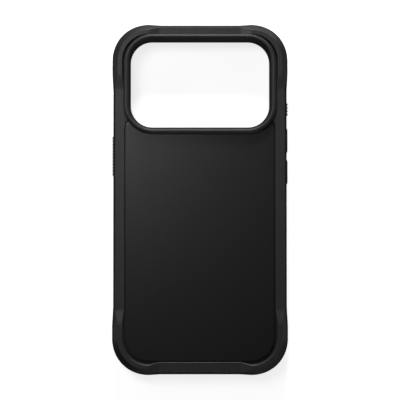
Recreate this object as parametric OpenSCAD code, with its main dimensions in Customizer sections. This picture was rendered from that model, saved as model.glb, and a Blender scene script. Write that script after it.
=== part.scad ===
// Rugged phone case: a soft bumper moulded round a rigid tray, with a set-in back panel,
// a raised camera ring, a ring of magnets and four sprung button covers.
// The case lies on its open front lip. +Z points out of the back and +Y to the camera end.

/* [Phone] */
// Width of the phone that the case is made for
phone_w = 71.9; // [71.6:0.1:72.2]
// Length of the phone
phone_l = 150; // [149.6:0.1:150.4]
// Thickness of the phone
phone_t = 8.75; // [8.6:0.05:9]
// Corner radius of the phone
phone_r = 13.05; // [13:0.05:13.2]

/* [Bumper] */
// How far the bumper's straight sides stand out from the phone
side_out = 2.8; // [2.7:0.05:3]
// How far the bumper's straight ends stand out from the phone
end_out = 2.95; // [2.8:0.05:3.1]
// How far the four corner lobes stand out from the phone
lobe_out = 3.25; // [3.2:0.05:3.6]
// Height of the flat band along the sides and ends
band_z = 12.6; // [12.5:0.1:13]
// Height of the ridge on the corner lobes
ridge_z = 13.4; // [13.2:0.1:14]
// How far a corner lobe bulges past a true arc, which makes it squarer
lobe_square = 0.3; // [0:0.05:0.4]
// Thickness of the lip that holds the phone in
lip_t = 1.3; // [1.1:0.1:1.6]
// How far the lip reaches in over the phone's edge
lip_reach = 0.6; // [0.5:0.1:0.8]

/* [Tray] */
// Thickness of the rigid side wall
wall_t = 1; // [0.9:0.1:1.1]
// Thickness of the rigid back
back_t = 1; // [1:0.1:1.2]
// Gap between the phone and the tray
phone_gap = 0.15; // [0.1:0.05:0.2]
// Thickness of the microfibre lining
lining_t = 0.45; // [0.4:0.05:0.5]

/* [Back panel] */
// Thickness of the back panel
panel_t = 0.6; // [0.5:0.1:0.7]
// Thickness of the adhesive film under the panel
glue_t = 0.1; // [0.1:0.05:0.15]
// Distance from the phone's side in to the panel's edge
panel_inset = 2.85; // [2.75:0.05:2.95]
// Distance from the phone's end in to the panel's edge
panel_end_inset = 3.05; // [3:0.05:3.2]

/* [Camera window] */
// Width of the camera window at the tray
window_w = 61.8; // [61.4:0.1:62.4]
// Length of the camera window at the tray
window_l = 38.1; // [37.8:0.1:38.4]
// Distance from the case's middle to the window's middle
window_y = 51.15; // [50.9:0.05:51.4]
// Height of the camera ring's crest
ring_z = 14.8; // [14.4:0.1:15]

/* [Magnets] */
// Number of magnets in the ring
magnet_count = 18; // [18:1:18]
// Outer diameter of the magnet ring
magnet_od = 54; // [53:0.5:54.5]
// Inner diameter of the magnet ring
magnet_id = 46; // [45.5:0.5:47]
// Distance from the case's middle down to the magnet ring's middle
magnet_down = 8; // [6:0.5:10]
// Thickness of a magnet
magnet_t = 0.55; // [0.5:0.05:0.6]
// Length of the bar magnet below the ring
bar_l = 16; // [14:0.5:18]
// Width of the bar magnet
bar_w = 4; // [3:0.5:5]

/* [Buttons] */
// Height of a button cover, measured through the phone's thickness
button_h = 3.4; // [3:0.1:3.6]
// How far a button travels when pressed
button_travel = 0.4; // [0.3:0.05:0.4]
// Gap round a button cover in its slot
button_gap = 0.15; // [0.1:0.05:0.2]
// Length of the power button
power_len = 17.8; // [17:0.1:18]
// Length of the action button
action_len = 6; // [5.8:0.1:6.4]
// Length of each volume button
volume_len = 10.8; // [10:0.1:11]

/* [Openings] */
// Width of the charging opening in the bottom wall
port_w = 13; // [12:0.5:14]
// Height of the charging opening
port_h = 6.5; // [5:0.5:7]
// Width of each sound opening beside it
sound_w = 12.4; // [10:0.2:13]
// Height of each sound opening
sound_h = 2.8; // [2:0.2:3.2]
// Distance from the middle of the case to the middle of a sound opening
sound_x = 15.6; // [15.2:0.1:16]
// Length of the opening over the camera key
key_l = 21; // [20:0.5:22]
// Height of the opening over the camera key
key_h = 4.8; // [4:0.2:5]

/* [Hidden] */
magnet_names = [for (k = [1 : magnet_count]) str("magnet_", k < 10 ? "0" : "", k)];
piece_names = [
    "bumper", "inner_shell", "back_panel", "panel_adhesive", "camera_ring", "lining_sheet",
    "magnet_carrier", "orientation_magnet", "power_button", "power_pusher", "action_button",
    "action_pusher", "volume_up_button", "volume_up_pusher", "volume_down_button",
    "volume_down_pusher"
];

eps = 0.02;            // how far a cut runs past the face it opens
arc_steps = 14;        // flats on a quarter turn of a case corner
ramp_steps = 4;        // steps in the climb from a side band to a corner ridge
corner_x = phone_w / 2 - phone_r;
corner_y = phone_l / 2 - phone_r;

// Heights through the case, from the front lip upwards
phone_top = lip_t + phone_t;
tray_floor = phone_top + lining_t;
tray_top = tray_floor + back_t;
panel_z = tray_top + glue_t;
mid_z = lip_t + phone_t / 2 + 0.05;

// Distances out from the phone's outline, negative inwards
tray_out = phone_gap + wall_t;
side_in = -2.35;
end_in = -2.75;
lobe_in = -1.75;

// Where the band starts and ends its climb, along a side and along an end
side_ramp = [48.8, 55.5];
end_ramp = [18.2, corner_x];

// Outer outline of the camera ring at the panel, and how far its crest leans in
ring_x = 34.1;
ring_y = [29.15, 73.75];
ring_r = 12.8;
ring_lean = [0, 0.45, 0.9];
ring_fit = 0.03;
window_r = 9.6;
window_flare = 0.9;    // how much wider the ring's opening is at its crest

// The webs that close the corners between the ring, the side bands and the panel
web_x = [28.6, 34.3];
web_y = [34.9, 44];
web_t = 0.85;
panel_top_y = 34.7;
panel_top_r = 1.6;
panel_gap = 0.1;       // gap between the panel and the ring
glue_inset = 0.5;      // how far the film stays inside the panel's edge

// The lining stays clear of the tray's rounded inner edge and of the camera window
lining_inset = 0.95;
lining_clear = 1;

// Pockets for the magnets and their carrier
pocket_margin = 0.8;
carrier_margin = 0.5;
bar_margin = 0.2;
bar_drop = 10;         // from the magnet ring's edge down to the bar magnet's middle
bar_y = -magnet_down - magnet_od / 2 - bar_drop;

// Places along the case: the camera key's opening and the button centres
key_y = -22;
power_y = 19.5;
action_y = 40.55;
volume_up_y = 26.5;
volume_down_y = 12.4;
button_foot = 1.5;     // from the phone's side out to a cover's foot
flange_t = 0.6;
flange_rim = 0.8;
flange_h = 4.8;
flange_gap = 0.2;
pad_h = 2.2;
pad_short = 1.5;       // how much shorter the pusher's pad is than its cover
pad_reach = button_foot - flange_t - phone_gap - button_travel;
ridge_pitch = 1.487;
ridge_w = 0.75;
ridge_proud = 0.65;
cover_proud = 0.3;
volume_proud = 0.55;
cover_chamfer = 0.35;

// ---------------------------------------------------------------- outlines

function arc(middle, r, start) =
    [for (i = [0 : arc_steps])
        let (a = start + 90 * i / arc_steps)
        middle + r * [cos(a), sin(a)]];

function rounded_box(x, y, r) = concat(
    arc([x[1] - r, y[1] - r], r, 0),
    arc([x[0] + r, y[1] - r], r, 90),
    arc([x[0] + r, y[0] + r], r, 180),
    arc([x[1] - r, y[0] + r], r, 270)
);

// The phone's outline moved outwards by d
function phone_outline(d) =
    let (x = phone_w / 2 + d, y = phone_l / 2 + d)
    rounded_box([-x, x], [-y, y], phone_r + d);

function ring_outline(d) =
    rounded_box([-ring_x - d, ring_x + d], [ring_y[0] - d, ring_y[1] + d], ring_r + d);

function window_outline(d, r) =
    let (x = window_w / 2 + d, y = window_l / 2 + d)
    rounded_box([-x, x], [window_y - y, window_y + y], r);

module slab(outline, z0, z1) {
    translate([0, 0, z0])
        linear_extrude(z1 - z0)
            polygon(outline);
}

// A block that stands in a side wall: side is 1 or -1, out is its distance from the phone's side
module side_block(side, y, len, h, out0, out1) {
    x0 = phone_w / 2 + out0;
    x1 = phone_w / 2 + out1;
    translate([side > 0 ? x0 : -x1, y - len / 2, mid_z - h / 2])
        cube([x1 - x0, len, h]);
}

// A slot with round ends along Y, cut through a side wall
module side_slot(side, y, len, h, out0, out1) {
    x = phone_w / 2 + out0;
    for (end = [-1, 1])
        translate([side * x, y + end * (len - h) / 2, mid_z])
            rotate([0, side * 90, 0])
                cylinder(h = out1 - out0, d = h, $fn = 48);
    side_block(side, y, len - h, h, out0, out1);
}

// A slot with round ends along X, cut through the bottom wall
module end_slot(x, w, h) {
    depth = 8;
    inside = 2;
    y = -phone_l / 2 - depth + inside;
    for (end = [-1, 1])
        translate([x + end * (w - h) / 2, y, mid_z])
            rotate([-90, 0, 0])
                cylinder(h = depth, d = h, $fn = 48);
    translate([x - (w - h) / 2, y, mid_z - h / 2])
        cube([w - h, depth, h]);
}

// ---------------------------------------------------------------- bumper

// The bumper's section as [distance out from the phone's outline, height] points. rim is the
// width of the slope along the band's inner edge.
function straight_section(out, inner, rim) = [
    [inner, 0],
    [out - 0.55, 0],
    [out, 0.7],
    [out, 9.9],
    [out - 0.8, band_z - 0.25],
    [out - 1.1, band_z],
    [inner + rim, band_z],
    [inner, band_z - 0.3]
];

lobe_section = [
    [lobe_in, 0],
    [lobe_out - 0.65, 0],
    [lobe_out, 0.9],
    [lobe_out, 10.2],
    [lobe_out - 0.7, 11.4],
    [lobe_out - 2.55, ridge_z],
    [lobe_in + 0.5, ridge_z],
    [lobe_in, ridge_z - 1]
];

side_band = straight_section(side_out, side_in, 0.2);
end_band = straight_section(end_out, end_in, 0.7);

// Stations of one quarter as [point on the corner frame, direction, share of lobe, band section]
side_run = [for (k = [0 : ramp_steps])
    let (t = k / ramp_steps)
    [[corner_x, side_ramp[0] + (side_ramp[1] - side_ramp[0]) * t], 0, t, side_band]];
corner_run = [for (i = [0 : arc_steps])
    [[corner_x, corner_y], 90 * i / arc_steps, 1, side_band]];
end_run = [for (k = [1 : ramp_steps])
    let (t = k / ramp_steps)
    [[end_ramp[1] + (end_ramp[0] - end_ramp[1]) * t, corner_y], 90, 1 - t, end_band]];
quarter = concat(side_run, corner_run, end_run);

function station_points(s, flip) =
    [for (j = [0 : len(lobe_section) - 1])
        let (p = (1 - s[2]) * s[3][j] + s[2] * lobe_section[j])
        let (bulge = p[0] > 0 ? lobe_square * pow(sin(2 * s[1]), 2) : 0)
        let (d = phone_r + p[0] + bulge)
        [flip[0] * (s[0][0] + d * cos(s[1])), flip[1] * (s[0][1] + d * sin(s[1])), p[1]]];

function quarter_points(flip) =
    let (n = len(quarter) - 1, forward = flip[0] * flip[1] > 0)
    [for (i = [0 : n]) station_points(quarter[forward ? i : n - i], flip)];

loop_stations = concat(
    quarter_points([1, 1]),
    quarter_points([-1, 1]),
    quarter_points([-1, -1]),
    quarter_points([1, -1])
);

module swept_loop(stations) {
    n = len(stations);
    m = len(stations[0]);
    points = [for (s = stations, p = s) p];
    faces = [for (i = [0 : n - 1], j = [0 : m - 1])
        let (a = i * m, b = (i + 1) % n * m, k = (j + 1) % m)
        each [[a + j, a + k, b + k], [a + j, b + k, b + j]]];
    polyhedron(points = points, faces = faces);
}

// Fills the corners between the camera ring, the side bands and the panel
module ring_webs() {
    for (side = [-1, 1])
        translate([side > 0 ? web_x[0] : -web_x[1], web_y[0], tray_top])
            cube([web_x[1] - web_x[0], web_y[1] - web_y[0], web_t]);
}

module bottom_openings() {
    end_slot(0, port_w, port_h);
    for (side = [-1, 1])
        end_slot(side * sound_x, sound_w, sound_h);
}

module camera_key_slot() {
    side_slot(-1, key_y, key_l, key_h, -1, 5);
}

module button_hole(side, y, len) {
    gap = button_gap * 2;
    rim = (flange_rim + flange_gap) * 2;
    side_block(side, y, len + gap, button_h + gap, 0, 5);
    side_block(side, y, len + rim, flange_h + flange_gap * 2, 0, button_foot + 0.1);
}

module button_holes() {
    button_hole(-1, power_y, power_len);
    button_hole(1, action_y, action_len);
    button_hole(1, volume_up_y, volume_len);
    button_hole(1, volume_down_y, volume_len);
}

module bumper() {
    color([0.16, 0.16, 0.17])
        difference() {
            union() {
                swept_loop(loop_stations);
                ring_webs();
            }
            slab(phone_outline(tray_out), lip_t, tray_top);
            slab(phone_outline(-lip_reach), -eps, lip_t + eps);
            slab(ring_outline(ring_fit), tray_top - eps, ridge_z + 1);
            button_holes();
            camera_key_slot();
            bottom_openings();
        }
}

// ---------------------------------------------------------------- rigid tray

module phone_cavity() {
    ease = 1.5;   // height and width of the slope that follows the phone's rounded back edge
    slope_z = tray_floor - ease;
    slab(phone_outline(phone_gap), lip_t - eps, slope_z + eps);
    hull() {
        slab(phone_outline(phone_gap), slope_z, slope_z + eps);
        slab(phone_outline(phone_gap - ease * 0.6), tray_floor - eps, tray_floor);
    }
}

module magnet_pockets() {
    floor_z = tray_top - magnet_t - glue_t;
    depth = magnet_t + glue_t + eps;
    bar_pocket = [bar_l + 2 * bar_margin, bar_w + 2 * bar_margin, depth];
    translate([0, -magnet_down, floor_z])
        difference() {
            cylinder(h = depth, d = magnet_od + 2 * pocket_margin, $fn = 96);
            translate([0, 0, -eps])
                cylinder(h = depth + 2 * eps, d = magnet_id - 2 * pocket_margin, $fn = 96);
        }
    translate([-bar_pocket[0] / 2, bar_y - bar_pocket[1] / 2, tray_top - magnet_t])
        cube(bar_pocket);
}

module inner_shell() {
    color([0.1, 0.1, 0.11])
        difference() {
            slab(phone_outline(tray_out), lip_t, tray_top);
            phone_cavity();
            slab(window_outline(0, window_r), tray_floor - 1, tray_top + 1);
            magnet_pockets();
            button_holes();
            camera_key_slot();
            bottom_openings();
        }
}

// ---------------------------------------------------------------- back panel and camera ring

// The panel's outline moved inwards by d: large corners at the bottom, small ones at the top
function panel_outline(d) =
    let (x = phone_w / 2 - panel_inset - d, top = panel_top_y - d, r = phone_r - panel_inset - d)
    let (low = -phone_l / 2 + panel_end_inset + d, top_r = panel_top_r)
    concat(
        arc([x - top_r, top - top_r], top_r, 0),
        arc([top_r - x, top - top_r], top_r, 90),
        arc([r - x, low + r], r, 180),
        arc([x - r, low + r], r, 270)
    );

module panel_shape(d, z0, z1) {
    difference() {
        slab(panel_outline(d), z0, z1);
        slab(ring_outline(panel_gap + d), z0 - 1, z1 + 1);
    }
}

module back_panel() {
    color([0.13, 0.13, 0.13])
        panel_shape(0, panel_z, panel_z + panel_t);
}

module panel_adhesive() {
    color([0.75, 0.75, 0.7])
        panel_shape(glue_inset, tray_top, panel_z);
}

module camera_ring() {
    heights = [12.7, ring_z - 0.6, ring_z];
    color([0.2, 0.2, 0.21])
        difference() {
            union() {
                slab(ring_outline(0), tray_top, heights[0]);
                hull()
                    for (k = [0 : 2])
                        slab(ring_outline(-ring_lean[k]), heights[k] - eps, heights[k]);
            }
            hull() {
                slab(window_outline(0, window_r), tray_top - 1, tray_top - 1 + eps);
                slab(window_outline(window_flare, window_r + window_flare), ring_z + eps,
                    ring_z + 2 * eps);
            }
        }
}

module lining_sheet() {
    color([0.22, 0.22, 0.23])
        difference() {
            slab(phone_outline(-lining_inset), phone_top, tray_floor);
            slab(window_outline(lining_clear, window_r + lining_clear), phone_top - 1, tray_floor + 1);
        }
}

// ---------------------------------------------------------------- magnets

module magnet_carrier() {
    color([0.85, 0.85, 0.8])
        translate([0, -magnet_down, tray_top - magnet_t - glue_t])
            difference() {
                cylinder(h = glue_t, d = magnet_od + 2 * carrier_margin, $fn = 96);
                translate([0, 0, -1])
                    cylinder(h = glue_t + 2, d = magnet_id - 2 * carrier_margin, $fn = 96);
            }
}

module magnet(k) {
    step = 360 / magnet_count;
    gap = 1.2;     // degrees left open between two neighbours
    flats = 4;
    start = 90 + step * (k - 1) + gap / 2;
    turn = (step - gap) / flats;
    outer = [for (i = [0 : flats]) magnet_od / 2 * [cos(start + turn * i), sin(start + turn * i)]];
    inner = [for (i = [flats : -1 : 0]) magnet_id / 2 * [cos(start + turn * i), sin(start + turn * i)]];
    color([0.7, 0.71, 0.73])
        translate([0, -magnet_down, 0])
            slab(concat(outer, inner), tray_top - magnet_t, tray_top);
}

module orientation_magnet() {
    color([0.7, 0.71, 0.73])
        translate([-bar_l / 2, bar_y - bar_w / 2, tray_top - magnet_t])
            cube([bar_l, bar_w, magnet_t]);
}

// ---------------------------------------------------------------- buttons

// A cover body in its slot, up to the wall's outer face
module cover_body(side, y, len, proud) {
    x0 = phone_w / 2 + button_foot;
    x1 = phone_w / 2 + side_out + proud;
    end = len / 2;
    outline = [
        [x0, -end],
        [x1 - cover_chamfer, -end],
        [x1, -end + cover_chamfer * 2],
        [x1, end - cover_chamfer * 2],
        [x1 - cover_chamfer, end],
        [x0, end]
    ];
    mirror([side > 0 ? 0 : 1, 0, 0])
        translate([0, y, mid_z - button_h / 2])
            linear_extrude(button_h)
                polygon(outline);
}

// Cross ridges on a cover, count of them, standing proud of it
module cover_ridges(side, y, count) {
    first = y - (count - 1) / 2 * ridge_pitch;
    ridge_h = button_h - 0.4;
    for (k = [0 : count - 1])
        side_block(side, first + k * ridge_pitch, ridge_w, ridge_h, side_out,
            side_out + ridge_proud);
}

module pusher(side, y, len) {
    foot = button_foot - flange_t;
    color([0.12, 0.12, 0.13]) {
        side_block(side, y, len + flange_rim * 2, flange_h, foot, button_foot);
        side_block(side, y, len - pad_short, pad_h, foot - pad_reach, foot);
    }
}

module power_button() {
    color([0.2, 0.2, 0.21]) {
        cover_body(-1, power_y, power_len, cover_proud);
        cover_ridges(-1, power_y, 12);
    }
}

module power_pusher() {
    pusher(-1, power_y, power_len);
}

module action_button() {
    color([0.2, 0.2, 0.21]) {
        cover_body(1, action_y, action_len, cover_proud);
        cover_ridges(1, action_y, 4);
    }
}

module action_pusher() {
    pusher(1, action_y, action_len);
}

module volume_up_button() {
    color([0.2, 0.2, 0.21])
        cover_body(1, volume_up_y, volume_len, volume_proud);
}

module volume_up_pusher() {
    pusher(1, volume_up_y, volume_len);
}

module volume_down_button() {
    color([0.2, 0.2, 0.21])
        cover_body(1, volume_down_y, volume_len, volume_proud);
}

module volume_down_pusher() {
    pusher(1, volume_down_y, volume_len);
}

// ---------------------------------------------------------------- what is drawn

bumper();
inner_shell();
back_panel();
panel_adhesive();
camera_ring();
lining_sheet();
magnet_carrier();
orientation_magnet();
power_button();
power_pusher();
action_button();
action_pusher();
volume_up_button();
volume_up_pusher();
volume_down_button();
volume_down_pusher();
for (k = [1 : magnet_count])
    magnet(k);
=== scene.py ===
"""Rugged phone case, seen from its back as it lies on its open front lip.

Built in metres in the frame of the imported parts: +Z out of the back, +Y to the camera end.
"""

import math

import bmesh
import bpy
from mathutils import Matrix, Vector


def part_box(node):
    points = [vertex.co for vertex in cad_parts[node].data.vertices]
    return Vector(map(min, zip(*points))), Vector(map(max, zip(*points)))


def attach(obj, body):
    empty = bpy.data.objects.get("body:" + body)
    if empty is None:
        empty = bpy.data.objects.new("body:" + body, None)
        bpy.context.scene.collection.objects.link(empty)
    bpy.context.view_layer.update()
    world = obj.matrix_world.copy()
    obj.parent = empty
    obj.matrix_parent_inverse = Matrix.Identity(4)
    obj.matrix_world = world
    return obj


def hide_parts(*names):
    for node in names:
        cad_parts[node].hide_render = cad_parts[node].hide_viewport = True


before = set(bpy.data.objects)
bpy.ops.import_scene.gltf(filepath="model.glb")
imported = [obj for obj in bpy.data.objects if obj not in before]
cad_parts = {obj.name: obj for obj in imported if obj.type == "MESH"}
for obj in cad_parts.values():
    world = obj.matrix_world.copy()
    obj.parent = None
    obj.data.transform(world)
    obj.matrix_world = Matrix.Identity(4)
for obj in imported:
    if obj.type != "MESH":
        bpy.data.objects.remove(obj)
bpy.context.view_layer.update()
mm = 0.001

# ------------------------------------------------------------------------------------------
# The stage: a pale table under a small key light at the upper left and a strong lamp beyond
# the camera end, with weak lamps low all round. The camera looks down on the case's back.
# ------------------------------------------------------------------------------------------
camera_distance = 650 * mm
camera_tilt = math.radians(1.5)
view_width = 178.3 * mm
sensor = 36.0
aim = Vector((0, -0.3 * mm, 11.5 * mm))

camera = bpy.data.objects.new("camera", bpy.data.cameras.new("camera"))
bpy.context.collection.objects.link(camera)
back_to_camera = Vector((0, -math.sin(camera_tilt), math.cos(camera_tilt)))
camera.location = aim + camera_distance * back_to_camera
camera.rotation_euler = (camera_tilt, 0, 0)
camera.data.sensor_width = sensor
camera.data.lens = sensor * camera_distance / view_width
camera.data.clip_start = 10 * mm
bpy.context.scene.camera = camera
bpy.context.scene.view_settings.view_transform = "Standard"


lit_point = Vector((0, 0, 12 * mm))


def soft_box(name, place, size, power):
    """A rectangular area light that faces the middle of the case's back."""
    light = bpy.data.lights.new(name, "AREA")
    light.shape = "RECTANGLE"
    light.size, light.size_y = size
    light.energy = power
    box = bpy.data.objects.new(name, light)
    bpy.context.collection.objects.link(box)
    box.location = place
    towards = lit_point - Vector(place)
    box.rotation_euler = towards.to_track_quat("-Z", "Y").to_euler()


soft_box("key", (-0.15, 0.13, 0.45), (0.09, 0.22), 0.47)
soft_box("strip_top", (0, 0.56, 0.24), (0.14, 0.14), 3.3)
soft_box("strip_top_right", (0.30, 0.51, 0.10), (0.14, 0.14), 0.45)
soft_box("low_left", (-0.59, 0, 0.10), (0.14, 0.14), 0.30)
soft_box("low_right", (0.59, 0, 0.10), (0.14, 0.14), 0.26)
soft_box("fill_left", (-0.50, 0.50, 0.30), (0.50, 0.16), 0.45)
soft_box("fill_right", (0.50, -0.50, 0.20), (0.50, 0.16), 0.45)
soft_box("fill_front", (0, -0.80, 0.12), (0.60, 0.16), 0.5)

floor_half = 4.0
floor_drop = 0.05 * mm     # keeps the table clear of the lip's underside
pale = (0.8, 0.8, 0.8, 1)
bm = bmesh.new()
bmesh.ops.create_grid(bm, x_segments=1, y_segments=1, size=floor_half)
floor_mesh = bpy.data.meshes.new("floor")
bm.to_mesh(floor_mesh)
bm.free()
floor_mesh.transform(Matrix.Translation((0, 0, -floor_drop)))
floor = bpy.data.objects.new("floor", floor_mesh)
bpy.context.collection.objects.link(floor)
floor.visible_diffuse = False
floor.visible_glossy = False

floor_paint = bpy.data.materials.new("pale_table")
floor_paint.use_nodes = True
paint = floor_paint.node_tree.nodes["Principled BSDF"]
paint.inputs["Base Color"].default_value = pale
paint.inputs["Roughness"].default_value = 0.9
paint.inputs["Specular IOR Level"].default_value = 0
paint.inputs["Emission Color"].default_value = pale
paint.inputs["Emission Strength"].default_value = 1
floor_mesh.materials.append(floor_paint)

surround = bpy.data.worlds.new("surround")
bpy.context.scene.world = surround
surround.use_nodes = True
surround.node_tree.nodes["Background"].inputs["Color"].default_value = pale
surround.cycles_visibility.diffuse = False
surround.cycles_visibility.glossy = False

# ------------------------------------------------------------------------------------------
# Bumper: one ring of soft black rubber, moulded over the tray. It carries the front lip, the
# flat bands, and a thicker raised lobe at each corner. Its slots are moulded, not cut.
# ------------------------------------------------------------------------------------------
tray_low, tray_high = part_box("inner_shell")
panel_low, panel_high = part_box("back_panel")
lip_top, tray_top = tray_low.z, tray_high.z
tray_reach = 14.2 * mm
corner = Vector((tray_high.x - tray_reach, tray_high.y - tray_reach, 0))
flank_x = corner.x + 15.85 * mm
end_y = corner.y + 16.0 * mm

# Sections as (reach out from the corner's centre, height, fillet radius) in mm. Every section
# has the same corners in the same order, so that one can run into the next.
lip_h = lip_top / mm
seat_h = tray_top / mm
band_h = 12.6


def band_section(reach, inner):
    """The section where the bumper is a flat band, as on the sides and the ends."""
    return [
        (12.45, 0, 0.3), (reach - 0.5, 0, 0.4), (reach, 0.7, 0.5), (reach, 9.9, 0.8),
        (reach - 0.8, band_h - 0.3, 0.2), (reach - 1.05, band_h, 0.25),
        (inner + 0.12, band_h, 0.2), (inner, band_h - 0.3, 0.15), (inner, seat_h, 0.02),
        (14.2, seat_h, 0.02), (14.2, lip_h, 0.02), (12.45, lip_h, 0.3),
    ]


side_section = band_section(15.85, 10.7)
end_section = band_section(16.0, 10.35)
lobe_section = [
    (12.45, 0, 0.3), (15.65, 0, 0.5), (16.3, 0.9, 0.6), (16.3, 10.2, 0.8),
    (15.6, 11.4, 0.4), (13.75, 13.4, 0.3), (11.8, 13.4, 0.25), (11.35, 12.6, 0.2),
    (11.3, seat_h, 0.02), (14.2, seat_h, 0.02), (14.2, lip_h, 0.02), (12.45, lip_h, 0.3),
]
corner_bulge = 0.15        # how far a lobe stands out past a true arc, at 45 degrees
flank_corners = 4          # the first corners of a section are the flank, which swells early
fillet_steps = 4
hidden_corner = 0.05       # corners with a smaller radius than this stay sharp

# Where the band climbs to the lobe's ridge, and where its flank swells to the lobe's, in mm
# from the middle of the side or of the end
side_ramp, side_swell = (49.2, 55.4), (47.9, 56.5)
end_ramp, end_swell = (18.2, corner.x / mm), (17.5, corner.x / mm)
ramp_softness = 0.2


def filleted(section):
    """The section's outline as points, with each corner turned into an arc."""
    points = []
    for i, (reach, height, radius) in enumerate(section):
        here = Vector((reach, height))
        if radius < hidden_corner:
            points.append(here)
            continue
        before = Vector(section[i - 1][:2]) - here
        after = Vector(section[(i + 1) % len(section)][:2]) - here
        half = before.angle(after) / 2
        back = min(radius / math.tan(half), 0.49 * before.length, 0.49 * after.length)
        radius = back * math.tan(half)
        centre = here + (before.normalized() + after.normalized()).normalized() * (
            radius / math.sin(half)
        )
        first = here + before.normalized() * back - centre
        last = here + after.normalized() * back - centre
        for k in range(fillet_steps + 1):
            points.append(centre + radius * first.slerp(last, k / fillet_steps))
    return points


def eased(value, start, end):
    """0 before start, 1 after end, a straight climb between with short soft ends."""
    t = min(1.0, max(0.0, (value - start) / (end - start)))
    soft = t * t * (3 - 2 * t)
    return t + (soft - t) * ramp_softness


def station(band, lobe, along, ramp, swell):
    """The section's points at a place along a side, between its band and its lobe."""
    climb = eased(along, *ramp)
    bulge = eased(along, *swell)
    flank = flank_corners * (fillet_steps + 1)
    return [
        a.lerp(b, bulge if i < flank else climb) for i, (a, b) in enumerate(zip(band, lobe))
    ]


def new_object(name, bm, material):
    """Turns a bmesh into a finished object at the origin."""
    mesh = bpy.data.meshes.new(name)
    bm.to_mesh(mesh)
    bm.free()
    mesh.shade_smooth()
    mesh.materials.append(material)
    piece = bpy.data.objects.new(name, mesh)
    bpy.context.collection.objects.link(piece)
    return piece


crease = math.radians(40)  # edges bent by more than this are drawn sharp


def even_normals(piece):
    """Keeps cut edges crisp, and flat faces flat beside their fillets."""
    piece.data.set_sharp_from_angle(angle=crease)
    piece.modifiers.new("even_normals", "WEIGHTED_NORMAL").keep_sharp = True


def apply_modifiers(piece):
    """Bakes the piece's modifiers into its mesh."""
    graph = bpy.context.evaluated_depsgraph_get()
    finished = bpy.data.meshes.new_from_object(piece.evaluated_get(graph))
    piece.modifiers.clear()
    old = piece.data
    piece.data = finished
    bpy.data.meshes.remove(old)


def cut(piece, bm, operation="DIFFERENCE"):
    """Cuts a bmesh's shape out of the piece, or joins it on."""
    mesh = bpy.data.meshes.new("cutter")
    bm.to_mesh(mesh)
    bm.free()
    cutter = bpy.data.objects.new("cutter", mesh)
    bpy.context.collection.objects.link(cutter)
    boolean = piece.modifiers.new("cut", "BOOLEAN")
    boolean.operation = operation
    boolean.solver = "EXACT"
    boolean.object = cutter
    apply_modifiers(piece)
    bpy.data.objects.remove(cutter)
    bpy.data.meshes.remove(mesh)


def edit(piece):
    """The piece's mesh, opened for more bmesh work."""
    bm = bmesh.new()
    bm.from_mesh(piece.data)
    return bm


def save(piece, bm):
    """Writes the bmesh back into the piece."""
    bm.to_mesh(piece.data)
    bm.free()
    piece.data.shade_smooth()


def moulded(name, colour, roughness, grain, depth, tone=0.12):
    """Matt moulded black: a fine spark-eroded grain, with slow changes of tone and gloss.
    grain is the size of a pit in mm, and depth is how deep it looks, in mm. tone is how far
    the colour wanders to either side."""
    material = bpy.data.materials.new(name)
    material.use_nodes = True
    nodes, links = material.node_tree.nodes, material.node_tree.links
    shader = nodes["Principled BSDF"]
    shader.inputs["Specular IOR Level"].default_value = 0.5
    places = nodes.new("ShaderNodeTexCoord")

    clouds = nodes.new("ShaderNodeTexNoise")
    clouds.inputs["Scale"].default_value = 60
    clouds.inputs["Detail"].default_value = 3
    links.new(places.outputs["Object"], clouds.inputs["Vector"])
    tint = nodes.new("ShaderNodeMix")
    tint.data_type = "RGBA"
    tint.inputs["A"].default_value = (*(c * (1 - tone) for c in colour), 1)
    tint.inputs["B"].default_value = (*(c * (1 + tone) for c in colour), 1)
    links.new(clouds.outputs["Fac"], tint.inputs["Factor"])
    links.new(tint.outputs["Result"], shader.inputs["Base Color"])

    pits = nodes.new("ShaderNodeTexNoise")
    pits.inputs["Scale"].default_value = 1 / (grain * mm)
    pits.inputs["Detail"].default_value = 2
    links.new(places.outputs["Object"], pits.inputs["Vector"])
    gloss = nodes.new("ShaderNodeMapRange")
    gloss.inputs["To Min"].default_value = roughness - 0.04
    gloss.inputs["To Max"].default_value = roughness + 0.04
    links.new(pits.outputs["Fac"], gloss.inputs["Value"])
    links.new(gloss.outputs["Result"], shader.inputs["Roughness"])
    bump = nodes.new("ShaderNodeBump")
    bump.inputs["Strength"].default_value = 0.6
    bump.inputs["Distance"].default_value = depth * mm
    links.new(pits.outputs["Fac"], bump.inputs["Height"])
    links.new(bump.outputs["Normal"], shader.inputs["Normal"])
    return material


touching = 1e-6            # metres: points closer than this are the same
side_step, side_steps = 0.35, 33
end_step, end_steps = 0.3, 20
turn_steps = 28
rubber = moulded("bumper_rubber", (0.020, 0.020, 0.0212), 0.46, 0.22, 0.02)


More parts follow.
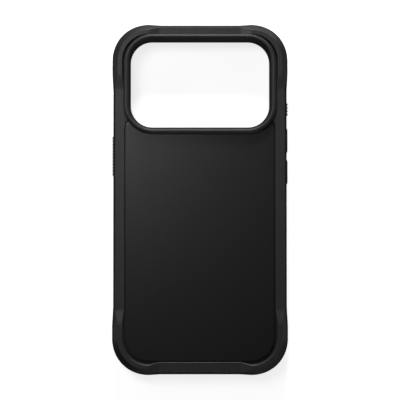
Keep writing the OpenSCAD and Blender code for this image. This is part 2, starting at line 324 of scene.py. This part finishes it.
def loft_quarter(bm):
    """One quarter of the bumper: along the side, round the corner and along the end."""
    side, end, lobe = (filleted(s) for s in (side_section, end_section, lobe_section))
    order = bm.verts.layers.int.new("order")
    for i, point in enumerate(side):
        vert = bm.verts.new((corner.x + point.x * mm, 0, point.y * mm))
        vert[order] = i
    bm.verts.ensure_lookup_table()
    count = len(bm.verts)
    loop = [bm.edges.new((bm.verts[i - 1], bm.verts[i])) for i in range(count)]

    def run_on(loop, outward, along, points):
        """Extrudes the open loop and lays the new one out in the plane at along."""
        made = bmesh.ops.extrude_edge_only(bm, edges=loop)["geom"]
        for vert in (g for g in made if isinstance(g, bmesh.types.BMVert)):
            point = points[vert[order]]
            vert.co = along + outward * point.x * mm + Vector((0, 0, point.y * mm))
        verts = {g for g in made if isinstance(g, bmesh.types.BMVert)}
        return [
            g for g in made if isinstance(g, bmesh.types.BMEdge) and set(g.verts) <= verts
        ]

    # Sides: the band runs straight, then climbs to the lobe
    stops = [side_swell[0] + side_step * k for k in range(side_steps)] + [corner.y / mm]
    for y in stops:
        points = station(side, lobe, y, side_ramp, side_swell)
        loop = run_on(loop, Vector((1, 0, 0)), Vector((corner.x, y * mm, 0)), points)

    verts = list({v for e in loop for v in e.verts})
    turned = bmesh.ops.spin(
        bm, geom=verts + loop, cent=corner, axis=(0, 0, 1), angle=math.pi / 2,
        steps=turn_steps,
    )["geom_last"]
    loop = [g for g in turned if isinstance(g, bmesh.types.BMEdge)]
    for vert in bm.verts:
        out = Vector((vert.co.x - corner.x, vert.co.y - corner.y, 0))
        if out.y > touching and out.length > tray_reach:
            turn = math.atan2(out.y, out.x)
            vert.co += out.normalized() * corner_bulge * mm * math.sin(2 * turn) ** 2

    # Ends: the lobe comes down to the band towards the middle
    stops = [corner.x / mm - end_step * k for k in range(1, end_steps)] + [0]
    for x in stops:
        points = station(end, lobe, x, end_ramp, end_swell)
        loop = run_on(loop, Vector((0, 1, 0)), Vector((x * mm, corner.y, 0)), points)


bm = bmesh.new()
loft_quarter(bm)
for axis in ("X", "Y"):
    whole = bm.verts[:] + bm.edges[:] + bm.faces[:]
    bmesh.ops.mirror(bm, geom=whole, axis=axis, merge_dist=touching)
bmesh.ops.remove_doubles(bm, verts=bm.verts, dist=touching)
bmesh.ops.recalc_face_normals(bm, faces=bm.faces)
bumper = new_object("bumper_moulding", bm, rubber)


def rounded_prism(bm, x, y, z, radii, steps=12, turn=None):
    """A prism between the limits x, y and z, in mm. radii rounds the corners at low y and at
    high y. turn is a matrix that places it."""
    verts = bmesh.ops.create_grid(bm, x_segments=1, y_segments=1, size=0.5)["verts"]
    size = Matrix.Diagonal((x[1] - x[0], y[1] - y[0], 1, 1))
    middle = Matrix.Translation(((x[0] + x[1]) / 2, (y[0] + y[1]) / 2, z[0]))
    bmesh.ops.transform(bm, matrix=middle @ size, verts=verts)
    face = verts[0].link_faces[0]
    for radius, end in zip(radii, (min, max)):
        level = end(v.co.y for v in face.verts)
        rounded = bmesh.ops.bevel(
            bm, geom=[v for v in face.verts if abs(v.co.y - level) < touching], offset=radius,
            affect="VERTICES", segments=steps, profile=0.5, material=-1,
        )
        face = rounded["verts"][0].link_faces[0]
    raised = bmesh.ops.extrude_face_region(bm, geom=[face])["geom"]
    top = [g for g in raised if isinstance(g, bmesh.types.BMVert)]
    bmesh.ops.translate(bm, vec=(0, 0, z[1] - z[0]), verts=top)
    verts = list({*top, *face.verts})
    place = Matrix.Scale(mm, 4) @ (turn if turn else Matrix())
    bmesh.ops.transform(bm, matrix=place, verts=verts)
    bmesh.ops.recalc_face_normals(bm, faces=list({f for v in verts for f in v.link_faces}))


# Ring outlines as (half-width, low y, high y, corner radius) in mm
ring_foot = (34.1, 29.15, 73.75, 12.8)
ring_crest_inside = (31.8, 31.35, 71.8, 10.8)
ring_window = (30.9, 32.1, 70.2, 9.6)
ring_steps = 20            # segments in each of the ring's corners
middle_z = 5.725
slot_gap = 0.15
flange_gap = 1.0           # room round a cover for its pusher's flange, behind the slot

# Slots as (side, y, length, height) in mm; side is 1 for +X
power_slot = (-1, 19.5, 17.8, 3.4)
action_slot = (1, 40.55, 6.0, 3.4)
volume_up_slot = (1, 26.5, 10.8, 3.4)
volume_down_slot = (1, 12.4, 10.8, 3.4)
button_slots = (power_slot, action_slot, volume_up_slot, volume_down_slot)
camera_key_slot = (-1, -22.0, 20.7, 4.5)
key_slot_gap = 0.1
slot_round, flange_slot_round, key_slot_round = 1.2, 0.2, 2.2
wall_depth = (34, 42)      # well inside the tray's wall to well outside the bumper
bumper_depth = (36.5, 42)
flange_depth = (36.5, 37.55)

# Openings in the bottom wall as (x, width, height): the charging opening and two for sound
bottom_openings = ((0, 13.0, 6.5), (15.6, 12.4, 2.8), (-15.6, 12.4, 2.8))
bottom_depth = (70, 84)
nearly_half = 0.48         # corner radius as a share of the height: ends almost round


def to_side(side, y):
    """Turns a prism's x, y, z into y, z and the way out of a side wall, in mm."""
    return Matrix(((0, 0, side, 0), (1, 0, 0, y), (0, 1, 0, middle_z), (0, 0, 0, 1)))


def to_bottom(x):
    """Turns a prism's x, y, z into x, z and the way out of the bottom wall, in mm."""
    return Matrix(((1, 0, 0, x), (0, 0, -1, 0), (0, 1, 0, middle_z), (0, 0, 0, 1)))


def side_hole(bm, slot, gap, out, radius):
    """A round-cornered hole through a side wall, gap wider all round than the slot."""
    side, y, length, height = slot
    half = (length / 2 + gap, height / 2 + gap)
    rounded_prism(
        bm, (-half[0], half[0]), (-half[1], half[1]), out, (radius, radius), 8,
        to_side(side, y),
    )


def end_holes(bm):
    """The openings through the bottom wall."""
    for x, width, height in bottom_openings:
        rounded_prism(
            bm, (-width / 2, width / 2), (-height / 2, height / 2), bottom_depth,
            (nearly_half * height,) * 2, 8, to_bottom(x),
        )


def ring_prism(bm, gap, z):
    """The camera ring's outline as a prism, gap wider all round."""
    half, low, high, radius = ring_foot
    rounded_prism(
        bm, (-half - gap, half + gap), (low - gap, high + gap), z, (radius + gap,) * 2,
        ring_steps,
    )


# Small webs close the corners between the ring, the side bands and the panel. Their lower
# edges follow the panel's rounded upper corners.
web_x, web_y = (26.5, 34.6), (32, 44)
web_low = 30               # below the webs
well_top = 14              # above every part of the bumper
panel_gap = 0.5
panel_top_round = 1.6
square = 0.1               # as good as a sharp corner
panel_edge_x, panel_top_y = panel_high.x / mm, panel_high.y / mm
bm = bmesh.new()
for side in (-1, 1):
    x = sorted(side * edge for edge in web_x)
    rounded_prism(bm, x, web_y, (seat_h, band_h), (square, square), 2)
cut(bumper, bm, "UNION")
bm = bmesh.new()
rounded_prism(
    bm, (-panel_edge_x - panel_gap, panel_edge_x + panel_gap),
    (web_low, panel_top_y + panel_gap), (seat_h, well_top),
    (square, panel_top_round + panel_gap), 12,
)
cut(bumper, bm)

ring_fit = 0.03
ring_cut = (seat_h - 1, 16)
bm = bmesh.new()
ring_prism(bm, ring_fit, ring_cut)
for slot in button_slots:
    side_hole(bm, slot, slot_gap, bumper_depth, slot_round)
    side_hole(bm, slot, flange_gap, flange_depth, flange_slot_round)
side_hole(bm, camera_key_slot, key_slot_gap, wall_depth, key_slot_round)
end_holes(bm)
cut(bumper, bm)


def rim_edges(bm, reach_x, reach_y):
    """Sharp edges of the slots on the outer faces of the walls, past the given reaches."""
    found = []
    for edge in bm.edges:
        if len(edge.link_faces) != 2 or edge.calc_face_angle() < slot_rim_angle:
            continue
        out_x = all(abs(v.co.x) > reach_x for v in edge.verts)
        out_y = all(v.co.y < -reach_y for v in edge.verts)
        level = all(abs(v.co.z - middle_z * mm) < slot_rim_span for v in edge.verts)
        if level and (out_x or out_y):
            found.append(edge)
    return found


slot_rim_angle = math.radians(50)
slot_rim_span = 3.4 * mm   # how far a slot's rim can lie above or below its middle
slot_rim = 0.3 * mm
bm = edit(bumper)
bmesh.ops.bevel(
    bm, geom=rim_edges(bm, flank_x - 0.01 * mm, end_y - 0.02 * mm), offset=slot_rim,
    affect="EDGES", segments=3, profile=0.5, material=-1, clamp_overlap=True,
)
save(bumper, bm)
even_normals(bumper)
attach(bumper, "case")
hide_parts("bumper")

# ------------------------------------------------------------------------------------------
# Camera ring: a raised moulded ring that stands round the camera window and guards the
# lenses. It is bonded to the tray, inside the bumper's upper band and above the panel.
# ------------------------------------------------------------------------------------------
ring_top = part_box("camera_ring")[1].z / mm
crest_width = ring_foot[0] - ring_crest_inside[0]
wall_lean = ring_crest_inside[0] - ring_window[0]

# Section as (how far in from the outer outline, height, fillet radius) in mm
ring_section = [
    (0, seat_h, 0.02), (0.05, ring_top - 1.1, 0.4), (0.75, ring_top - 0.12, 0.5),
    (1.35, ring_top, 0.5), (1.75, ring_top - 0.1, 0.4), (crest_width, ring_top - 0.75, 0.4),
    (crest_width + wall_lean, seat_h, 0.02),
]


def ring_outline_at(inset):
    """The rounded rectangle this far in from the ring's outer outline."""
    if inset < crest_width:
        pair, share = (ring_foot, ring_crest_inside), inset / crest_width
    else:
        pair, share = (ring_crest_inside, ring_window), (inset - crest_width) / wall_lean
    return [a + (b - a) * share for a, b in zip(*pair)]


def rounded_loop(bm, outline, height):
    """An open loop of edges round a rounded rectangle, at a height in mm."""
    half, low, high, radius = outline
    verts = bmesh.ops.create_grid(bm, x_segments=1, y_segments=1, size=0.5)["verts"]
    place = Matrix.Translation((0, (low + high) / 2, height))
    size = Matrix.Diagonal((2 * half, high - low, 1, 1))
    bmesh.ops.transform(bm, matrix=Matrix.Scale(mm, 4) @ place @ size, verts=verts)
    face = verts[0].link_faces[0]
    rounded = bmesh.ops.bevel(
        bm, geom=face.verts[:], offset=radius * mm, affect="VERTICES", segments=ring_steps,
        profile=0.5, material=-1,
    )
    face = rounded["verts"][0].link_faces[0]
    loop = face.edges[:]
    bmesh.ops.delete(bm, geom=[face], context="FACES_ONLY")
    return loop


def corner_centre(outline, place):
    """The centre of the rounded corner that is nearest to the place, in mm."""
    half, low, high, radius = outline
    y = high - radius if place.y > (low + high) / 2 else low + radius
    return Vector((math.copysign(half - radius, place.x), y))


def sweep_ring(bm, section, outline_at):
    """Extrudes a rounded loop through the closed section and back to its start."""
    points = filleted(section)
    outline = outline_at(points[0].x)
    loop = rounded_loop(bm, outline, points[0].y)
    for point in points[1:] + points[:1]:
        made = bmesh.ops.extrude_edge_only(bm, edges=loop)["geom"]
        verts = {g for g in made if isinstance(g, bmesh.types.BMVert)}
        wider = outline_at(point.x)
        for vert in verts:
            place = vert.co.xy / mm
            centre = corner_centre(outline, place)
            out = (place - centre) / outline[3]
            place = corner_centre(wider, place) + out * wider[3]
            vert.co = Vector((place.x, place.y, point.y)) * mm
        outline = wider
        loop = [g for g in made if isinstance(g, bmesh.types.BMEdge) and set(g.verts) <= verts]
    bmesh.ops.remove_doubles(bm, verts=bm.verts, dist=touching)
    bmesh.ops.recalc_face_normals(bm, faces=bm.faces)


bm = bmesh.new()
sweep_ring(bm, ring_section, ring_outline_at)
ring_rubber = moulded("ring_rubber", (0.021, 0.021, 0.0222), 0.46, 0.22, 0.02)
ring = new_object("camera_ring_moulding", bm, ring_rubber)
even_normals(ring)
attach(ring, "case")
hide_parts("camera_ring")

# ------------------------------------------------------------------------------------------
# Back panel: a thin flat plate with a soft-touch matt black skin, bonded into the well of
# the back. Its top edge follows the camera ring, and its lower corners follow the lobes.
# ------------------------------------------------------------------------------------------
panel_round = 10.65
panel_ring_gap = 0.1
panel_edge = 0.12

panel_skin = moulded("panel_skin", (0.0085, 0.0085, 0.0085), 0.36, 0.12, 0.012, 0.06)
bm = bmesh.new()
rounded_prism(
    bm, (-panel_edge_x, panel_edge_x), (panel_low.y / mm, panel_top_y),
    (panel_low.z / mm, panel_high.z / mm), (panel_round, panel_top_round), 24,
)
upper_rim = [e for e in bm.edges if all(v.co.z > panel_high.z - touching for v in e.verts)]
bmesh.ops.bevel(
    bm, geom=upper_rim, offset=panel_edge * mm, affect="EDGES", segments=3, profile=0.5,
    material=-1,
)
panel = new_object("back_panel_plate", bm, panel_skin)
bm = bmesh.new()
ring_prism(bm, panel_ring_gap, ring_cut)
cut(panel, bm)
bm = edit(panel)
bmesh.ops.triangulate(bm, faces=[f for f in bm.faces if len(f.verts) > 4])
save(panel, bm)
even_normals(panel)
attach(panel, "case")
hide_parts("back_panel")

# ------------------------------------------------------------------------------------------
# Tray: the rigid black polycarbonate moulding inside the bumper. The phone lies in its hollow,
# and its back has pockets for the magnets and the camera window.
# ------------------------------------------------------------------------------------------
cavity_reach = 13.2
cavity_round = 1.5
lining_low, lining_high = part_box("lining_sheet")
floor_h = lining_high.z / mm
bar_low, bar_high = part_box("orientation_magnet")
carrier_low, carrier_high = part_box("magnet_carrier")
magnet_ring_y = (carrier_low.y + carrier_high.y) / 2 / mm
pocket_radii = (22.2, 27.8)
pocket_margin = 0.2
tray_clear = 0.02          # keeps the tray's faces from lying in the bumper's
tray_slot_gap = 0.9
tray_slot_depth = (35.9, 38)
tray_slot_round = 0.6
washer_steps = 96


def case_prism(bm, reach, z):
    """A prism of the case's outline at this reach from the corner centres."""
    x, y = (c / mm + reach for c in corner[:2])
    rounded_prism(bm, (-x, x), (-y, y), z, (reach, reach), 24)


def washer(bm, radii, middle_y, z):
    """A flat ring round the upright axis at (0, middle_y), in mm."""
    inner, outer = radii
    section = ((inner, z[0]), (outer, z[0]), (outer, z[1]), (inner, z[1]))
    verts = [bm.verts.new((r * mm, middle_y * mm, h * mm)) for r, h in section]
    edges = [bm.edges.new((verts[i - 1], verts[i])) for i in range(4)]
    bmesh.ops.spin(
        bm, geom=verts + edges, cent=(0, middle_y * mm, 0), axis=(0, 0, 1),
        angle=2 * math.pi, steps=washer_steps, use_merge=True,
    )
    bmesh.ops.recalc_face_normals(bm, faces=bm.faces)


tray_black = moulded("tray_black", (0.006, 0.006, 0.0064), 0.40, 0.30, 0.008, 0.08)
bm = bmesh.new()
case_prism(bm, tray_reach / mm - tray_clear, (lip_h + tray_clear, seat_h - tray_clear / 2))
tray = new_object("tray_moulding", bm, tray_black)

bm = bmesh.new()
case_prism(bm, cavity_reach, (0, floor_h))
back_edge = [e for e in bm.edges if all(v.co.z > (floor_h - 0.01) * mm for v in e.verts)]
bmesh.ops.bevel(
    bm, geom=back_edge, offset=cavity_round * mm, affect="EDGES", segments=6, profile=0.5,
    material=-1,
)
cut(tray, bm)

bm = bmesh.new()
half, low, high, radius = ring_window
over_back = seat_h + 1
rounded_prism(
    bm, (-half, half), (low, high), (floor_h - 1, over_back), (radius, radius), ring_steps,
)
washer(bm, pocket_radii, magnet_ring_y, (carrier_low.z / mm, over_back))
rounded_prism(
    bm, (bar_low.x / mm - pocket_margin, bar_high.x / mm + pocket_margin),
    (bar_low.y / mm - pocket_margin, bar_high.y / mm + pocket_margin),
    (bar_low.z / mm, over_back), (0.4, 0.4), 4,
)
for slot in button_slots:
    side_hole(bm, slot, tray_slot_gap, tray_slot_depth, tray_slot_round)
side_hole(bm, camera_key_slot, key_slot_gap, wall_depth, key_slot_round)
end_holes(bm)
cut(tray, bm)
even_normals(tray)
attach(tray, "case")
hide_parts("inner_shell")

# ------------------------------------------------------------------------------------------
# Lining: a die-cut sheet of charcoal microfibre, glued flat to the tray's inner face so that
# the phone's back isn't scratched.
# ------------------------------------------------------------------------------------------
lining_round = 12.1
lining_window_clear = 1.0
lining_edge = 0.12
lining_gap = 0.02          # the glue between the lining and the tray
rim_angle = math.radians(60)


def microfibre(name, colour):
    """A short brushed nap: fine fibres that lie in slow patches, with a soft sheen."""
    material = bpy.data.materials.new(name)
    material.use_nodes = True
    nodes, links = material.node_tree.nodes, material.node_tree.links
    shader = nodes["Principled BSDF"]
    shader.inputs["Roughness"].default_value = 0.95
    shader.inputs["Specular IOR Level"].default_value = 0.2
    shader.inputs["Sheen Weight"].default_value = 0.5
    shader.inputs["Sheen Roughness"].default_value = 0.4
    places = nodes.new("ShaderNodeTexCoord")

    patches = nodes.new("ShaderNodeTexNoise")
    patches.inputs["Scale"].default_value = 90
    patches.inputs["Detail"].default_value = 2
    links.new(places.outputs["Object"], patches.inputs["Vector"])
    stretch = nodes.new("ShaderNodeMapping")
    stretch.inputs["Scale"].default_value = (1, 0.35, 1)
    links.new(places.outputs["Object"], stretch.inputs["Vector"])
    fibres = nodes.new("ShaderNodeTexNoise")
    fibres.inputs["Scale"].default_value = 4500
    fibres.inputs["Detail"].default_value = 3
    links.new(stretch.outputs["Vector"], fibres.inputs["Vector"])

    lay = nodes.new("ShaderNodeMix")
    lay.inputs["Factor"].default_value = 0.45
    links.new(fibres.outputs["Fac"], lay.inputs["A"])
    links.new(patches.outputs["Fac"], lay.inputs["B"])
    tint = nodes.new("ShaderNodeValToRGB")
    tint.color_ramp.elements[0].position = 0.3
    tint.color_ramp.elements[0].color = (*(c * 0.6 for c in colour), 1)
    tint.color_ramp.elements[1].position = 0.7
    tint.color_ramp.elements[1].color = (*(c * 1.5 for c in colour), 1)
    links.new(lay.outputs["Result"], tint.inputs["Fac"])
    links.new(tint.outputs["Color"], shader.inputs["Base Color"])
    bump = nodes.new("ShaderNodeBump")
    bump.inputs["Strength"].default_value = 0.8
    bump.inputs["Distance"].default_value = 0.05 * mm
    links.new(fibres.outputs["Fac"], bump.inputs["Height"])
    links.new(bump.outputs["Normal"], shader.inputs["Normal"])
    return material


charcoal_microfibre = microfibre("charcoal_microfibre", (0.050, 0.050, 0.053))
bm = bmesh.new()
rounded_prism(
    bm, (lining_low.x / mm, lining_high.x / mm), (lining_low.y / mm, lining_high.y / mm),
    (lining_low.z / mm, floor_h - lining_gap), (lining_round, lining_round), 24,
)
lining = new_object("microfibre_lining", bm, charcoal_microfibre)
bm = bmesh.new()
rounded_prism(
    bm, (-half - lining_window_clear, half + lining_window_clear),
    (low - lining_window_clear, high + lining_window_clear),
    (floor_h - 2, floor_h + 1), (radius + lining_window_clear,) * 2, ring_steps,
)
cut(lining, bm)
bm = edit(lining)
soft_rim = [
    e for e in bm.edges
    if len(e.link_faces) == 2 and e.calc_face_angle() > rim_angle
    and all(v.co.z < lining_low.z + touching for v in e.verts)
]
bmesh.ops.bevel(
    bm, geom=soft_rim, offset=lining_edge * mm, affect="EDGES", segments=3, profile=0.5,
    material=-1,
)
save(lining, bm)
even_normals(lining)
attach(lining, "case")
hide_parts("lining_sheet")

# ------------------------------------------------------------------------------------------
# Magnets and films: nickel-plated arc magnets on a thin film ring, a bar magnet below them,
# and the clear adhesive film that bonds the back panel over them.
# ------------------------------------------------------------------------------------------


def plated(name, colour):
    """Tumbled nickel plating: a soft mirror with fine scuffs that run every way."""
    material = bpy.data.materials.new(name)
    material.use_nodes = True
    nodes, links = material.node_tree.nodes, material.node_tree.links
    shader = nodes["Principled BSDF"]
    shader.inputs["Metallic"].default_value = 1
    places = nodes.new("ShaderNodeTexCoord")
    scuffs = nodes.new("ShaderNodeTexNoise")
    scuffs.inputs["Scale"].default_value = 2500
    scuffs.inputs["Detail"].default_value = 4
    links.new(places.outputs["Object"], scuffs.inputs["Vector"])
    haze = nodes.new("ShaderNodeMapRange")
    haze.inputs["To Min"].default_value = 0.2
    haze.inputs["To Max"].default_value = 0.38
    links.new(scuffs.outputs["Fac"], haze.inputs["Value"])
    links.new(haze.outputs["Result"], shader.inputs["Roughness"])
    tint = nodes.new("ShaderNodeMix")
    tint.data_type = "RGBA"
    tint.inputs["A"].default_value = (*(c * 0.85 for c in colour), 1)
    tint.inputs["B"].default_value = (*colour, 1)
    links.new(scuffs.outputs["Fac"], tint.inputs["Factor"])
    links.new(tint.outputs["Result"], shader.inputs["Base Color"])
    return material


def film(name, colour, roughness):
    """Thin polyester film: smooth, with faint streaks from the roll."""
    material = bpy.data.materials.new(name)
    material.use_nodes = True
    nodes, links = material.node_tree.nodes, material.node_tree.links
    shader = nodes["Principled BSDF"]
    shader.inputs["Roughness"].default_value = roughness
    places = nodes.new("ShaderNodeTexCoord")
    stretch = nodes.new("ShaderNodeMapping")
    stretch.inputs["Scale"].default_value = (1, 0.05, 1)
    links.new(places.outputs["Object"], stretch.inputs["Vector"])
    streaks = nodes.new("ShaderNodeTexNoise")
    streaks.inputs["Scale"].default_value = 900
    links.new(stretch.outputs["Vector"], streaks.inputs["Vector"])
    tint = nodes.new("ShaderNodeMix")
    tint.data_type = "RGBA"
    tint.inputs["A"].default_value = (*(c * 0.9 for c in colour), 1)
    tint.inputs["B"].default_value = (*colour, 1)
    links.new(streaks.outputs["Fac"], tint.inputs["Factor"])
    links.new(tint.outputs["Result"], shader.inputs["Base Color"])
    return material


def coat(node, material):
    """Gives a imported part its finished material."""
    for material_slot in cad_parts[node].material_slots:
        material_slot.material = material


nickel = plated("nickel_plating", (0.66, 0.64, 0.60))
carrier_film = film("carrier_film", (0.75, 0.74, 0.68), 0.35)
adhesive_film = film("adhesive_film", (0.50, 0.48, 0.42), 0.25)
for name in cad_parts:
    if name.startswith("magnet_") and name != "magnet_carrier":
        coat(name, nickel)
coat("orientation_magnet", nickel)
coat("magnet_carrier", carrier_film)
coat("panel_adhesive", adhesive_film)

# ------------------------------------------------------------------------------------------
# Button covers: soft rubber caps that stand in the bumper's side slots. The power and action
# covers have cross ridges for grip, and the two volume covers are smooth.
# ------------------------------------------------------------------------------------------
cap_round = 1.2
cap_foot = 37.47
valley_top = 39.05
ridge_width = 0.75
ridge_pitch = 1.487
ridge_edge = 0.13
cap_rim = 0.25
smooth_rim = 0.4
upright = 0.9              # a face whose normal's z is more than this is a top face

cap_rubber = moulded("cap_rubber", (0.020, 0.020, 0.0212), 0.50, 0.22, 0.015)


def stand_out(name):
    """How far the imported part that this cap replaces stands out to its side, in mm."""
    low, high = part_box(name.replace("_cap", "_button"))
    return max(-low.x, high.x) / mm


def start_cap(slot, top):
    """A cap as a prism in its own frame, x along the case and z outwards, and its top face."""
    length, height = slot[2:]
    bm = bmesh.new()
    rounded_prism(
        bm, (-length / 2, length / 2), (-height / 2, height / 2), (cap_foot, top),
        (cap_round, cap_round), 8,
    )
    crown = max(bm.faces, key=lambda f: f.calc_center_median().z)
    return bm, crown


def finish_cap(name, bm, slot, body):
    """Turns the cap into its place in the side wall and makes it a piece."""
    turn = Matrix.Scale(mm, 4) @ to_side(*slot[:2]) @ Matrix.Scale(1 / mm, 4)
    bmesh.ops.transform(bm, matrix=turn, verts=bm.verts)
    bmesh.ops.recalc_face_normals(bm, faces=bm.faces)
    cap = new_object(name, bm, cap_rubber)
    even_normals(cap)
    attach(cap, body)
    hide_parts(name.replace("_cap", "_button"))


def centred_tops(bm):
    """The cap's top faces that reach across its middle line."""
    return [
        f for f in bm.faces
        if f.normal.z > upright and abs(f.calc_center_median().y) < 0.3 * mm
    ]


def ridged_cap(name, slot, body, count):
    """A cap whose top is cut into strips, every other one raised as a ridge."""
    bm, crown = start_cap(slot, valley_top)
    bmesh.ops.inset_region(bm, faces=[crown], thickness=cap_rim * mm, use_even_offset=True)
    first = -(count - 1) / 2 * ridge_pitch
    middles = [first + k * ridge_pitch for k in range(count)]
    crown_end = (slot[2] / 2 - cap_rim) * mm
    for middle in middles:
        for edge_x in (middle - ridge_width / 2, middle + ridge_width / 2):
            crown = [f for f in centred_tops(bm) if abs(f.calc_center_median().x) < crown_end]
            edges = {e for f in crown for e in f.edges}
            verts = {v for f in crown for v in f.verts}
            bmesh.ops.bisect_plane(
                bm, geom=[*crown, *edges, *verts], dist=1e-9,
                plane_co=(edge_x * mm, 0, 0), plane_no=(1, 0, 0),
            )
    strips = [
        f for f in centred_tops(bm)
        if any(abs(f.calc_center_median().x / mm - m) < 0.1 for m in middles)
    ]
    raised = bmesh.ops.extrude_face_region(bm, geom=strips)["geom"]
    bmesh.ops.delete(bm, geom=strips, context="FACES_ONLY")
    top = [g for g in raised if isinstance(g, bmesh.types.BMVert)]
    ridge_top = stand_out(name) * mm
    bmesh.ops.translate(bm, vec=(0, 0, ridge_top - valley_top * mm), verts=top)
    crests = [
        e for e in bm.edges
        if all(v.co.z > ridge_top - touching for v in e.verts) and e.calc_face_angle(0) > 0.5
    ]
    bmesh.ops.bevel(
        bm, geom=crests, offset=ridge_edge * mm, affect="EDGES", segments=2, profile=0.5,
        material=-1,
    )
    finish_cap(name, bm, slot, body)


def smooth_cap(name, slot, body):
    """A cap with one broad rounded rim."""
    bm, crown = start_cap(slot, stand_out(name))
    bmesh.ops.bevel(
        bm, geom=crown.edges[:], offset=smooth_rim * mm, affect="EDGES", segments=4,
        profile=0.5, material=-1,
    )
    finish_cap(name, bm, slot, body)


ridged_cap("power_cap", power_slot, "power_key", 12)
ridged_cap("action_cap", action_slot, "action_key", 4)
smooth_cap("volume_up_cap", volume_up_slot, "volume_up_key")
smooth_cap("volume_down_cap", volume_down_slot, "volume_down_key")

# ------------------------------------------------------------------------------------------
# Pushers: a hard black plastic foot under each cap. Its flange keeps it behind the wall, and
# its pad passes through the tray to the phone's own button.
# ------------------------------------------------------------------------------------------
flange_rim = 0.8
flange_height = 4.8
flange_round = 0.6
flange_out = (36.85, 37.45)
pad_height = 2.2
pad_round = 0.5
pad_short = 1.5
pad_root = 0.2             # how far the pad runs into the flange
pusher_edge = 0.08

pusher_black = moulded("pusher_black", (0.007, 0.007, 0.0074), 0.38, 0.30, 0.006, 0.06)


def pusher(name, slot, body):
    """The flange and the pad as one moulding."""
    side, y, length = slot[:3]
    node_low, node_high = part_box(name)
    pad_out = min(abs(node_low.x), abs(node_high.x)) / mm
    place = to_side(side, y)
    half_x, half_y = length / 2 + flange_rim, flange_height / 2
    bm = bmesh.new()
    rounded_prism(
        bm, (-half_x, half_x), (-half_y, half_y), flange_out, (flange_round,) * 2, 6, place,
    )
    piece = new_object(name + "_moulding", bm, pusher_black)
    half_x, half_y = length / 2 - pad_short / 2, pad_height / 2
    bm = bmesh.new()
    rounded_prism(
        bm, (-half_x, half_x), (-half_y, half_y), (pad_out, flange_out[0] + pad_root),
        (pad_round,) * 2, 6, place,
    )
    cut(piece, bm, "UNION")
    bm = edit(piece)
    sharp = [e for e in bm.edges if e.calc_face_angle(0) > rim_angle]
    bmesh.ops.bevel(
        bm, geom=sharp, offset=pusher_edge * mm, affect="EDGES", segments=2, profile=0.5,
        material=-1, clamp_overlap=True,
    )
    save(piece, bm)
    even_normals(piece)
    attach(piece, body)
    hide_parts(name)


pusher("power_pusher", power_slot, "power_key")
pusher("action_pusher", action_slot, "action_key")
pusher("volume_up_pusher", volume_up_slot, "volume_up_key")
pusher("volume_down_pusher", volume_down_slot, "volume_down_key")
